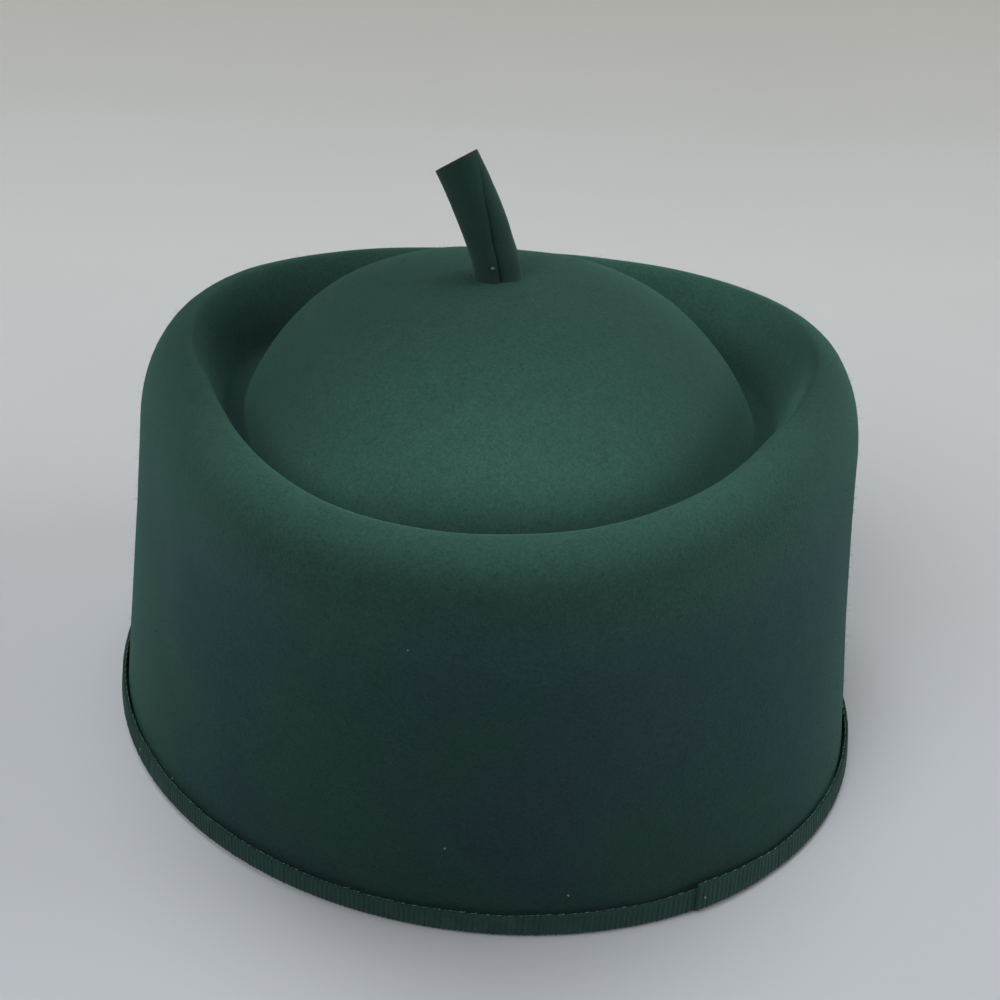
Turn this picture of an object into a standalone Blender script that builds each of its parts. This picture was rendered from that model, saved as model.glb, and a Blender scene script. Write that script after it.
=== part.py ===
"""A blocked felt prayer cap: a hollow crown with a rim and a domed centre, a felt stem on
the dome, and a narrow ribbon folded over the lower edge. Metres, +Z up, origin on the
ground under the middle of the cap. The narrow end of the rim points to -Y.
"""
from math import atan2, cos, exp, hypot, pi, radians, sin, tan, tau

import bmesh
import bpy

MM = 0.001

# Felt, ribbon and clearance
FELT = 2.5 * MM
RIBBON = 0.8 * MM
GAP = 0.3 * MM

# Outlines seen from above: a mean radius, an oval that is longest at oval_at, an egg whose
# narrow end is at egg_at, and the place of the outline's centre
OUTLINES = {
    "rim": dict(radius=91.0 * MM, oval=3.0 * MM, oval_at=radians(-72),
                egg=6.0 * MM, egg_at=radians(-94), x=0.0 * MM, y=0.0 * MM),
    "edge": dict(radius=94.0 * MM, oval=6.4 * MM, oval_at=radians(-41),
                 egg=1.3 * MM, egg_at=radians(-134), x=-3.6 * MM, y=-1.7 * MM),
}

# Crown: heights above the ground, and widths as shares of the rim's outline
FELT_EDGE = 1.8 * MM            # the felt's lower edge, clear of the ribbon's fold
RIM_HEIGHT = 94.0 * MM          # the rim's ridge
RIM_LEVEL = 82.0 * MM           # where the rim's outline is measured
SHOULDER_WIDTH = 0.127          # from the outside of the wall in to the ridge
SHOULDER_DROP = 20.0 * MM       # from the ridge down to where the wall starts
MOAT_INSET = 0.305              # from the rim's outline in to the foot of the dome
MOAT_DEPTH = 19.0 * MM          # from the ridge down to the floor of the moat
CREASE_WIDTH = 0.040            # the crease at the foot of the dome
CREASE_DROP = 2.6 * MM
CREASE_START = radians(-50)     # where the ridge's inner slope runs into the crease
SLOPE_WAVE = radians(135)       # how much of a half wave that slope takes
DOME_HEIGHT = 114.2 * MM        # top of the dome
DOME_SIDE = 2.75                # above 2, the dome is fuller than a ball's cap
DOME_FLANK = 0.85               # below 1, its flank starts steep
BULGE = 9.5 * MM                # how much further the dome's foot reaches at the front
BULGE_AT = radians(-90)
BULGE_POWER = 3                 # higher keeps the bulge nearer to the front

# Rows of the crown's surface, and points in each row
SIDES = 64
ROWS = dict(wall=6, shoulder=6, slope=6, crease=3, dome=11)

# Ribbon, folded over the lower edge, with its ends lapped at the front right
RIBBON_OUTSIDE = 6.6 * MM       # height outside
RIBBON_INSIDE = 5.6 * MM        # height inside
RIBBON_BEVEL = 0.35 * MM        # width of its corner bevels
LAP_AT = radians(-59.0)         # the end that lies on top
LAP_LENGTH = radians(12)        # how far the lap is seen
LAP_RISE = 1.7 * MM             # the lapped end is this much taller
LAP_THICKNESS = 0.6 * MM        # and this much thicker
LAP_STEP = radians(0.25)        # how sharply it starts
RIBBON_SIDES = 96

# Stem, a rolled strip of felt that leans to the left
STEM_WIDTH = 11.3 * MM
STEM_DEPTH = 9.2 * MM
STEM_FOOT_Y = -4.2 * MM         # its foot is a little in front of the dome's middle
STEM_HEIGHT = 26.9 * MM         # from the dome to the middle of the cut end
STEM_LEAN = 10.3 * MM           # how far its cut end lies to the left of its foot
STEM_BEND = 1.35                # above 1, the lean grows towards the cut end
STEM_FLARE = 0.09               # how much wider its foot is
FLARE_HEIGHT = 0.05             # how fast that fades, as a share of the height
SEAM_AT = radians(-90)          # where the strip's outer edge lies at the foot, seen from above
SEAM_SWING = radians(55)        # how far it swings to the right up to the cut end
SEAM_CURVE = 2.2                # above 1, most of that swing is near the cut end
SEAM_STEP = 1.1 * MM            # height of the step at that edge
SEAM_GROOVE = 0.5 * MM          # depth of the dent along it
CUT_RISE = tan(radians(30))     # the cut end rises to the right
CUT_FALL = tan(radians(14))     # and falls to the back
STEM_ROWS = 11
STEM_SIDES = 32


def clear_scene():
    """Remove whatever the opened file holds."""
    for thing in list(bpy.data.objects):
        bpy.data.objects.remove(thing, do_unlink=True)


def make_material(name, color, roughness):
    material = bpy.data.materials.new(name)
    material.use_nodes = True
    shader = material.node_tree.nodes["Principled BSDF"]
    shader.inputs["Base Color"].default_value = (*color, 1.0)
    shader.inputs["Roughness"].default_value = roughness
    shader.inputs["Metallic"].default_value = 0.0
    return material


def make_piece(name, bm, material, parent):
    """Turn a bmesh into a smooth-shaded object under the cap's empty."""
    bmesh.ops.recalc_face_normals(bm, faces=bm.faces)
    mesh = bpy.data.meshes.new(name)
    bm.to_mesh(mesh)
    bm.free()
    mesh.shade_smooth()
    mesh.set_sharp_from_angle(angle=radians(40))
    mesh.materials.append(material)
    piece = bpy.data.objects.new(name, mesh)
    piece.parent = parent
    bpy.context.scene.collection.objects.link(piece)
    return piece


def add_ring(bm, points):
    return [bm.verts.new(point) for point in points]


def skin(bm, lower, upper):
    """Join two rings of as many points with four-sided faces."""
    count = len(lower)
    for i in range(count):
        j = (i + 1) % count
        bm.faces.new((lower[i], lower[j], upper[j], upper[i]))


def turn_angles(count):
    return [tau * i / count for i in range(count)]


def outline_radius(outline, angle):
    """Distance from an outline's centre to the outline."""
    oval = outline["oval"] * cos(2 * (angle - outline["oval_at"]))
    egg = outline["egg"] * cos(3 * (angle - outline["egg_at"]))
    return outline["radius"] + oval + egg


def front_bulge(angle, inset):
    """How far the dome is drawn out to the front: most at its foot, nothing at the ridge."""
    past_ridge = min(1.0, max(0.0, (inset - SHOULDER_WIDTH) / (MOAT_INSET - SHOULDER_WIDTH)))
    to_foot = past_ridge ** 2 * (3 - 2 * past_ridge)
    from_middle = (1 - inset) / (1 - MOAT_INSET)
    return BULGE * min(to_foot, from_middle) * (0.5 + 0.5 * cos(angle - BULGE_AT)) ** BULGE_POWER


def crown_point(angle, inset, height, blend, out=0.0):
    """A point of the crown, by the one rule that all its rows follow.

    blend is 0 on the lower edge's outline and 1 on the rim's, inset is a share of the
    rim's outline, and out moves the point along its radius.
    """
    edge, rim = OUTLINES["edge"], OUTLINES["rim"]
    rim_radius = outline_radius(rim, angle)
    radius = outline_radius(edge, angle) * (1 - blend) + rim_radius * (blend - inset) + out
    radius += front_bulge(angle, inset)
    x = edge["x"] * (1 - blend) + rim["x"] * blend
    y = edge["y"] * (1 - blend) + rim["y"] * blend
    return (x + radius * cos(angle), y + radius * sin(angle), height)


def wall_rows():
    """The straight wall, from the felt's lower edge to where the shoulder starts."""
    rise = RIM_HEIGHT - SHOULDER_DROP - FELT_EDGE
    heights = [FELT_EDGE + rise * i / ROWS["wall"] for i in range(ROWS["wall"])]
    return [(0.0, height, height / RIM_LEVEL) for height in heights]


def shoulder_rows():
    """A quarter of an oval that turns the wall in to the ridge."""
    rows = []
    for i in range(ROWS["shoulder"] + 1):
        turn = pi / 2 * i / ROWS["shoulder"]
        height = RIM_HEIGHT - SHOULDER_DROP * (1 - sin(turn))
        rows.append((SHOULDER_WIDTH * (1 - cos(turn)), height, height / RIM_LEVEL))
    return rows


def crease_rows():
    """The round floor of the moat, up to the foot of the dome."""
    rows = []
    for i in range(ROWS["crease"]):
        turn = CREASE_START + (pi / 2 - CREASE_START) * i / ROWS["crease"]
        inset = MOAT_INSET - CREASE_WIDTH * (1 - sin(turn))
        rows.append((inset, RIM_HEIGHT - MOAT_DEPTH + CREASE_DROP * (1 - cos(turn)), 1.0))
    return rows


def slope_rows(top, bottom):
    """The ridge's inner slope, part of a half wave down to the crease."""
    rows = []
    for i in range(1, ROWS["slope"]):
        share = i / ROWS["slope"]
        fall = (1 - cos(SLOPE_WAVE * share)) / (1 - cos(SLOPE_WAVE))
        inset = top[0] + (bottom[0] - top[0]) * share
        blend = top[2] + (bottom[2] - top[2]) * share
        rows.append((inset, top[1] + (bottom[1] - top[1]) * fall, blend))
    return rows


def dome_height(share):
    """Height of the dome's surface at a share of the way from its middle to its foot."""
    foot = RIM_HEIGHT - MOAT_DEPTH + CREASE_DROP
    return foot + (DOME_HEIGHT - foot) * (1 - share ** DOME_SIDE) ** DOME_FLANK


def dome_rows():
    """From the dome's foot to beside its top."""
    shares = [cos(pi / 2 * i / ROWS["dome"]) for i in range(ROWS["dome"])]
    return [(1 - (1 - MOAT_INSET) * share, dome_height(share), 1.0) for share in shares]


def crown_rows():
    """Inset, height and blend of each row, from the lower edge to beside the dome's top."""
    shoulder = shoulder_rows()
    crease = crease_rows()
    slope = slope_rows(shoulder[-1], crease[0])
    return wall_rows() + shoulder + slope + crease + dome_rows()


def build_crown(parent):
    """One sheet of felt, given its thickness inwards."""
    bm = bmesh.new()
    angles = turn_angles(SIDES)
    rings = [add_ring(bm, [crown_point(angle, *row) for angle in angles]) for row in crown_rows()]
    for lower, upper in zip(rings, rings[1:]):
        skin(bm, lower, upper)
    summit = bm.verts.new((0.0, 0.0, DOME_HEIGHT))
    last = rings[-1]
    for i in range(SIDES):
        bm.faces.new((last[i], last[(i + 1) % SIDES], summit))
    felt = make_material("crown", (0.022, 0.066, 0.056), 0.95)
    crown = make_piece("crown", bm, felt, parent)
    thickness = crown.modifiers.new("thickness", "SOLIDIFY")
    thickness.thickness = FELT
    thickness.offset = -1.0
    thickness.use_even_offset = True
    thickness.use_quality_normals = True
    return crown


def lap_amount(angle):
    """1 where the ribbon's upper end starts, fading to 0 along the lap."""
    past = (angle - LAP_AT) % tau
    return (1 - past / LAP_LENGTH) ** 0.7 if past < LAP_LENGTH else 0.0


def ribbon_angles():
    """Even turns, with two extra rows that make the lapped end a clean step."""
    return sorted(turn_angles(RIBBON_SIDES) + [LAP_AT % tau, (LAP_AT - LAP_STEP) % tau])


def ribbon_section(angle):
    """The folded ribbon's U-shaped section at one angle, drawn as one closed ring."""
    lap = lap_amount(angle)
    outer_face = GAP + RIBBON + LAP_THICKNESS * lap
    inner_face = -FELT - GAP - RIBBON
    top = RIBBON_OUTSIDE + LAP_RISE * lap
    corners = (
        (outer_face, top - RIBBON_BEVEL),
        (outer_face - RIBBON_BEVEL, top),
        (GAP, top),
        (GAP, RIBBON),
        (-FELT - GAP, RIBBON),
        (-FELT - GAP, RIBBON_INSIDE),
        (inner_face, RIBBON_INSIDE),
        (inner_face, RIBBON_BEVEL),
        (inner_face + RIBBON_BEVEL, 0.0),
        (outer_face - RIBBON_BEVEL, 0.0),
        (outer_face, RIBBON_BEVEL),
    )
    return [crown_point(angle, 0.0, height, height / RIM_LEVEL, out) for out, height in corners]


def build_ribbon(parent):
    bm = bmesh.new()
    rings = [add_ring(bm, ribbon_section(angle)) for angle in ribbon_angles()]
    for i, ring in enumerate(rings):
        skin(bm, ring, rings[(i + 1) % len(rings)])
    cloth = make_material("edge_ribbon", (0.014, 0.04, 0.034), 0.85)
    return make_piece("edge_ribbon", bm, cloth, parent)


def stem_outline(turn, seam):
    """The rolled strip's section, an oval that steps in at the seam, at a turn from it."""
    past = turn / tau
    step = SEAM_STEP * (past - 0.5)
    groove = SEAM_GROOVE * (exp(-(past / 0.03) ** 2) + exp(-((1 - past) / 0.02) ** 2))
    x = (STEM_WIDTH / 2 + step - groove) * cos(seam + turn)
    y = (STEM_DEPTH / 2 + step - groove) * sin(seam + turn)
    return x, y


def seat_height(x, y):
    """Just above the dome's surface at a place near its middle."""
    foot = (1 - MOAT_INSET) * outline_radius(OUTLINES["rim"], atan2(y, x))
    return dome_height(hypot(x, y) / foot) + GAP


def stem_ring(share):
    """One ring of the stem, from its foot on the dome at 0 to its cut end at 1."""
    centre_x = -STEM_LEAN * share ** STEM_BEND
    centre_z = DOME_HEIGHT + STEM_HEIGHT * share
    tilt = atan2(STEM_LEAN * STEM_BEND * share ** (STEM_BEND - 1), STEM_HEIGHT) * min(1.0, 2 * share)
    cut = share ** 3
    flare = 1 + STEM_FLARE * exp(-share / FLARE_HEIGHT)
    seam = SEAM_AT + SEAM_SWING * share ** SEAM_CURVE
    points = []
    for turn in turn_angles(STEM_SIDES):
        across, deep = (size * flare for size in stem_outline(turn, seam))
        x = centre_x + across * cos(tilt)
        y = STEM_FOOT_Y + deep
        rise = across * (sin(tilt) * (1 - cut) + CUT_RISE * cos(tilt) * cut)
        z = seat_height(x, y) if share == 0 else centre_z + rise - deep * CUT_FALL * cut
        points.append((x, y, z))
    return points


def build_stem(parent):
    bm = bmesh.new()
    rings = [add_ring(bm, stem_ring(i / (STEM_ROWS - 1))) for i in range(STEM_ROWS)]
    for lower, upper in zip(rings, rings[1:]):
        skin(bm, lower, upper)
    bm.faces.new(reversed(rings[0]))
    bm.faces.new(rings[-1])
    felt = make_material("stem", (0.012, 0.034, 0.028), 0.95)
    return make_piece("stem", bm, felt, parent)


def middle_of(pieces):
    """Middle of the pieces' box, seen from above."""
    bpy.context.view_layer.update()
    depsgraph = bpy.context.evaluated_depsgraph_get()
    corners = [corner for piece in pieces for corner in piece.evaluated_get(depsgraph).bound_box]
    xs, ys = [c[0] for c in corners], [c[1] for c in corners]
    return (min(xs) + max(xs)) / 2, (min(ys) + max(ys)) / 2


def build_cap():
    clear_scene()
    cap = bpy.data.objects.new("prayer_cap", None)
    bpy.context.scene.collection.objects.link(cap)
    x, y = middle_of([build_crown(cap), build_ribbon(cap), build_stem(cap)])
    cap.location = (-x, -y, 0.0)


build_cap()
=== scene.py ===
# %% [markdown]
# # A blocked felt cap with a domed centre
# The cap is pressed over a block from one sheet of wool felt, so its wall, its rounded rim,
# the moat inside the rim and the dome are one skin. A ribbon is folded over the lower edge,
# and a short stem, rolled from a strip of felt, stands on the dome.
# The lesson loads plain solids of the three pieces as a fixed frame, and then builds each
# piece again with its surface, in metres with +Z up. The narrow end points to -Y.

from collections import namedtuple
from math import atan2, ceil, cos, exp, hypot, pi, radians, sin, tan, tau

import bmesh
import bpy
from mathutils import Matrix, Vector, noise
from mathutils.bvhtree import BVHTree


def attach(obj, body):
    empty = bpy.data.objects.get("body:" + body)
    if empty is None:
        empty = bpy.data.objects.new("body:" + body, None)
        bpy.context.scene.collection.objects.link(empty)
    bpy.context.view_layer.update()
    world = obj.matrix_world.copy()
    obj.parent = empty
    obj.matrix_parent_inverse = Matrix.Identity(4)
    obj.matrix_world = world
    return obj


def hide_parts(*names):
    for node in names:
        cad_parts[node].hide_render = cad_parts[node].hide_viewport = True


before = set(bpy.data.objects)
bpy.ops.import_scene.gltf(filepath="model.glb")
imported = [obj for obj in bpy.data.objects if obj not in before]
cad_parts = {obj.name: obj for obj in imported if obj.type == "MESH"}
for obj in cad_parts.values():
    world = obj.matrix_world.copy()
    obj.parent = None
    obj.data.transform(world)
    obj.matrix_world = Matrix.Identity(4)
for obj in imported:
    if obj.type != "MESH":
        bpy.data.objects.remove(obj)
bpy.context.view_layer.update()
MM = 0.001

# %% [markdown]
# ## The cap's own axis
# All the outlines are drawn round the axis of the dome. The solids stand with the middle of
# their box at the origin, which isn't quite that axis, so it is measured: the highest corner
# of the crown is the dome's top.

# %% Measure the axis
summit = max((corner.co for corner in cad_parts["crown"].data.vertices), key=lambda place: place.z)
AXIS = (summit.x, summit.y)
DOME_HEIGHT = summit.z
print("axis at", [round(value / MM, 2) for value in AXIS], "mm, dome", round(DOME_HEIGHT / MM, 1), "mm high")

# %% [markdown]
# ## The rule that all rows of the cap follow
# Seen from above, a row is a circle made oval and egg-shaped by two waves. The lower edge
# has one such outline and the rim another, and blend goes from the first to the second.
# Every row is then three numbers: how far it is inset from the rim's outline, as a share,
# how high it is, and its blend. One node group holds the rule, so that the crown, the
# ribbon and the thread on it can't drift apart.

# %% Sizes of the two outlines
OUTLINES = {
    "edge": {"radius": 94.0 * MM, "oval": 6.4 * MM, "oval at": radians(-41),
             "egg": 1.3 * MM, "egg at": radians(-134), "x": -3.6 * MM, "y": -1.7 * MM},
    "rim": {"radius": 91.0 * MM, "oval": 3.0 * MM, "oval at": radians(-72),
            "egg": 6.0 * MM, "egg at": radians(-94), "x": 0.0 * MM, "y": 0.0 * MM},
}
RIM_LEVEL = 82.0 * MM           # where the rim's outline is measured
RIDGE_INSET = 0.127             # from the rim's outline in to the ridge, as a share of it
MOAT_INSET = 0.305              # and in to the foot of the dome
BULGE = 9.5 * MM                # how much further the dome's foot reaches at the front
BULGE_AT = radians(-90)

# %% [markdown]
# ## Small helpers for node trees
# A tree reads best when each node is one line: its kind, what feeds it and its settings.

# %% Helpers: wire, add_node, calc and new_tree
KINDS = {"float": "NodeSocketFloat", "int": "NodeSocketInt", "vector": "NodeSocketVector",
         "color": "NodeSocketColor", "object": "NodeSocketObject",
         "material": "NodeSocketMaterial", "geometry": "NodeSocketGeometry"}


def wire(tree, target, source):
    """Feed an input from a socket, or give it a plain value."""
    if isinstance(source, bpy.types.NodeSocket):
        tree.links.new(source, target)
    else:
        target.default_value = source


def add_node(tree, kind, inputs=None, **settings):
    """Add a node with its settings, and feed its inputs by name or number."""
    node = tree.nodes.new(kind)
    for key, value in settings.items():
        setattr(node, key, value)
    for socket, source in (inputs or {}).items():
        wire(tree, node.inputs[socket], source)
    return node


def calc(tree, operation, *values):
    """The result of one Math node."""
    return add_node(tree, "ShaderNodeMath", dict(enumerate(values)), operation=operation).outputs[0]


def new_tree(name, kind, inputs, outputs):
    """A node tree with named inputs (kind, default) and outputs; its given values and its end."""
    tree = bpy.data.node_groups.new(name, kind)
    for label, (sort, value) in inputs.items():
        socket = tree.interface.new_socket(label, in_out="INPUT", socket_type=KINDS[sort])
        if value is not None:
            socket.default_value = value
    for label, sort in outputs.items():
        tree.interface.new_socket(label, in_out="OUTPUT", socket_type=KINDS[sort])
    given = tree.nodes.new("NodeGroupInput").outputs
    end = tree.nodes.new("NodeGroupOutput").inputs
    return tree, given, end


# %% Node group: cap_outline
WAVES = {"oval": 2.0, "egg": 3.0}       # lobes of each wave


def build_outline_group():
    """Radius of an outline at an angle: a mean, a two-lobed wave and a three-lobed wave."""
    sizes = {label: ("float", 0.0) for label in ("angle", "radius", "oval", "oval at", "egg", "egg at")}
    tree, given, end = new_tree("cap_outline", "GeometryNodeTree", sizes, {"radius": "float"})
    total = given["radius"]
    for wave, lobes in WAVES.items():
        turn = calc(tree, "MULTIPLY", calc(tree, "SUBTRACT", given["angle"], given[wave + " at"]), lobes)
        total = calc(tree, "MULTIPLY_ADD", given[wave], calc(tree, "COSINE", turn), total)
    wire(tree, end["radius"], total)
    return tree


outline_group = build_outline_group()

# %% Node group: cap_point
BULGE_POWER = 3.0               # the higher, the narrower round the front


def spread(tree, value, low, high, to_low=0.0, to_high=1.0, ease="LINEAR"):
    """Stretch a range of values to another range."""
    node = add_node(tree, "ShaderNodeMapRange", {0: value, 1: low, 2: high, 3: to_low, 4: to_high},
                    interpolation_type=ease)
    return node.outputs[0]


def front_bulge(tree, given):
    """How far the dome is drawn out to the front: most at its foot, nothing at the ridge."""
    to_foot = spread(tree, given["inset"], given["ridge inset"], given["moat inset"], ease="SMOOTHSTEP")
    inward = calc(tree, "SUBTRACT", 1.0, given["inset"])
    from_middle = calc(tree, "DIVIDE", inward, calc(tree, "SUBTRACT", 1.0, given["moat inset"]))
    swell = calc(tree, "MINIMUM", to_foot, from_middle)
    turn = calc(tree, "COSINE", calc(tree, "SUBTRACT", given["angle"], given["bulge at"]))
    ahead = calc(tree, "POWER", calc(tree, "MULTIPLY_ADD", turn, 0.5, 0.5), BULGE_POWER)
    return calc(tree, "MULTIPLY", calc(tree, "MULTIPLY", swell, ahead), given["bulge"])


def build_point_group():
    """A point of the cap from its angle, inset, height, blend and distance out."""
    inputs = {label: ("float", 0.0) for label in ("angle", "inset", "height", "blend", "out")}
    inputs.update({"axis x": ("float", AXIS[0]), "axis y": ("float", AXIS[1]), "bulge": ("float", BULGE),
                   "bulge at": ("float", BULGE_AT), "ridge inset": ("float", RIDGE_INSET),
                   "moat inset": ("float", MOAT_INSET)})
    for name, sizes in OUTLINES.items():
        inputs.update({f"{name} {label}": ("float", value) for label, value in sizes.items()})
    tree, given, end = new_tree("cap_point", "GeometryNodeTree", inputs, {"position": "vector"})
    share = {"edge": calc(tree, "SUBTRACT", 1.0, given["blend"]),
             "rim": calc(tree, "SUBTRACT", given["blend"], given["inset"])}
    bulge = front_bulge(tree, given)
    radius, x, y = calc(tree, "ADD", given["out"], bulge), given["axis x"], given["axis y"]
    for name in OUTLINES:
        outline = add_node(tree, "GeometryNodeGroup", node_tree=outline_group)
        wire(tree, outline.inputs["angle"], given["angle"])
        for label in ("radius", "oval", "oval at", "egg", "egg at"):
            wire(tree, outline.inputs[label], given[f"{name} {label}"])
        radius = calc(tree, "MULTIPLY_ADD", outline.outputs[0], share[name], radius)
        x = calc(tree, "MULTIPLY_ADD", given[f"{name} x"], share[name], x)
        y = calc(tree, "MULTIPLY_ADD", given[f"{name} y"], share[name], y)
    x = calc(tree, "MULTIPLY_ADD", radius, calc(tree, "COSINE", given["angle"]), x)
    y = calc(tree, "MULTIPLY_ADD", radius, calc(tree, "SINE", given["angle"]), y)
    place = add_node(tree, "ShaderNodeCombineXYZ", {0: x, 1: y, 2: given["height"]})
    wire(tree, end["position"], place.outputs[0])
    return tree


point_group = build_point_group()
print("node groups:", outline_group.name, "and", point_group.name)

# %% [markdown]
# The same rule is needed once more in plain Python, to seat the stem.

# %% The rule in Python
def outline_radius(name, angle):
    sizes = OUTLINES[name]
    waves = [sizes[wave] * cos(lobes * (angle - sizes[wave + " at"])) for wave, lobes in WAVES.items()]
    return sizes["radius"] + sum(waves)


print("the rim's radius at the front is", round(outline_radius("rim", radians(-90)) / MM, 1), "mm")

# %% [markdown]
# ## Felt
# Wool felt has no threads: its fibres lie every way, and a short nap stands on them. Light
# that grazes it catches that nap, so the sides of the cap look paler than its front. The
# dye took unevenly and leaves cooler patches a few centimetres wide. The group makes the
# uneven dye and the fibres' relief; the sheen is the same all over, so it is set on the shader.

# %% Helpers: shader noise, mixing and a new material
def noise_at(tree, place, size, detail=4.0, roughness=0.6, distortion=0.0):
    """Noise whose lumps are about this size, in metres."""
    node = add_node(tree, "ShaderNodeTexNoise", {"Vector": place, "Scale": 1.0 / size, "Detail": detail,
                                                 "Roughness": roughness, "Distortion": distortion})
    return node.outputs[0]


def mix_color(tree, share, first, second, blend="MIX"):
    node = add_node(tree, "ShaderNodeMix", data_type="RGBA", blend_type=blend)
    for socket, source in ((0, share), (6, first), (7, second)):
        wire(tree, node.inputs[socket], source)
    return node.outputs[2]


def grey(tree, value):
    """A number as a grey color."""
    return add_node(tree, "ShaderNodeCombineColor", {0: value, 1: value, 2: value}).outputs[0]


def new_material(name, **uniform):
    """A material; values that are the same all over go on the shader's own sockets."""
    material = bpy.data.materials.new(name)
    material.use_nodes = True
    shader = material.node_tree.nodes["Principled BSDF"]
    for label, value in uniform.items():
        shader.inputs[label.replace("_", " ")].default_value = value
    return material, material.node_tree, shader


# %% Shader group: felt_grain
PATCH_RISE = 22 * MM            # moves the pattern of bluish patches up the wall
PATCH_EDGE = (0.36, 0.58)       # noise values between which a patch fades in
PATCH_LEVELS = (90 * MM, 66 * MM)       # no patches above the first, full patches below the second
CLUMP_SIZE = 4.5 * MM
CLUMP_SHARE = 0.14              # of the relief; the rest is single fibres
FIBRE_TWIST = 1.2


def build_felt_grain():
    """Uneven dye, fibres and nap of wool felt, from places on the object."""
    inputs = {"dye": ("color", (0.0, 0.0, 0.0, 1.0)), "cool dye": ("color", (0.0, 0.0, 0.0, 1.0)),
              "patch size": ("float", 30 * MM), "fibre size": ("float", 0.7 * MM),
              "relief": ("float", 0.1 * MM), "contrast": ("float", 0.2)}
    outputs = {"color": "color", "roughness": "float", "normal": "vector"}
    tree, given, end = new_tree("felt_grain", "ShaderNodeTree", inputs, outputs)
    place = add_node(tree, "ShaderNodeTexCoord").outputs["Object"]
    raised = add_node(tree, "ShaderNodeVectorMath", {0: place, 1: (0.0, 0.0, PATCH_RISE)},
                      operation="SUBTRACT")
    patches = add_node(tree, "ShaderNodeTexNoise", {"Vector": raised.outputs[0], "Detail": 3.0,
                                                    "Roughness": 0.5})
    wire(tree, patches.inputs["Scale"], calc(tree, "DIVIDE", 1.0, given["patch size"]))
    fibres = add_node(tree, "ShaderNodeTexNoise", {"Vector": place, "Detail": 5.0, "Roughness": 0.65,
                                                   "Distortion": FIBRE_TWIST})
    wire(tree, fibres.inputs["Scale"], calc(tree, "DIVIDE", 1.0, given["fibre size"]))
    clumps = noise_at(tree, place, CLUMP_SIZE, detail=3.0)
    height = add_node(tree, "ShaderNodeSeparateXYZ", {0: place}).outputs[2]
    cool = calc(tree, "MULTIPLY", spread(tree, patches.outputs[0], *PATCH_EDGE),
                spread(tree, height, *PATCH_LEVELS))
    dyed = mix_color(tree, cool, given["dye"], given["cool dye"])
    fibre_part = calc(tree, "MULTIPLY", fibres.outputs[0], 1.0 - CLUMP_SHARE)
    lumps = calc(tree, "MULTIPLY_ADD", clumps, CLUMP_SHARE, fibre_part)
    shade = calc(tree, "MULTIPLY_ADD", calc(tree, "SUBTRACT", lumps, 0.5), given["contrast"], 1.0)
    dyed = mix_color(tree, 1.0, dyed, grey(tree, shade), "MULTIPLY")
    bump = add_node(tree, "ShaderNodeBump", {"Strength": 0.7, "Distance": given["relief"],
                                             "Height": lumps})
    wire(tree, end["color"], dyed)
    wire(tree, end["roughness"], spread(tree, lumps, 0.3, 0.7, 0.98, 0.86))
    wire(tree, end["normal"], bump.outputs[0])
    return tree


felt_grain = build_felt_grain()
print("shader group:", felt_grain.name)

# %% [markdown]
# Light and shade are painted into the felt's colour: the top of the cap is painted paler than its wall, most
# of all at the front of the ridge and of the dome, and the front of the wall and the back of the rim's inner
# slope are painted lighter too. A second group says by how much. It splits the felt into zones round the
# cap's axis, and each zone is a product of fades along x, y, z or the distance from the axis.

# %% Zones of painted light
Fade = namedtuple("Fade", "along start full ease power", defaults=("LINEAR", 1.0))   # start and full in mm
# Painted light: how much each zone's dye is lightened, added to 1.
PAINTED_LIGHT_GAINS = {"top": 0.43, "ridge": 1.35, "wall": 0.48, "back": 1.6, "dome": 3.1}
PAINTED_LIGHT_ZONES = {
    "top": (Fade("z", 60, 90, "SMOOTHSTEP"),),
    "ridge": (Fade("z", 86, 95, "SMOOTHSTEP"), Fade("radius", 62, 76, "SMOOTHSTEP"),
              Fade("y", -10, -75, "SMOOTHSTEP")),
    "wall": (Fade("z", 15, 75), Fade("y", -30, -85), Fade("z", 92, 78)),
    "back": (Fade("radius", 58, 70), Fade("radius", 88, 80), Fade("z", 76, 86), Fade("y", 5, 45),
             Fade("x", -60, 30)),
    "dome": (Fade("radius", 76, 62, "SMOOTHSTEP"), Fade("z", 60, 90, "SMOOTHSTEP"),
             Fade("y", 30, -75, "LINEAR", 3.0)),
}
print(len(PAINTED_LIGHT_ZONES), "zones:", ", ".join(PAINTED_LIGHT_ZONES))


# %% Shader group: painted_light_gain, painted light and shade
def zone_mask(tree, places, fades):
    """How far a point lies in a zone, from 0 to 1."""
    mask = 1.0
    for fade in fades:
        level = spread(tree, places[fade.along], fade.start * MM, fade.full * MM, ease=fade.ease)
        mask = calc(tree, "MULTIPLY", mask, calc(tree, "POWER", level, fade.power))
    return mask


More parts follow.
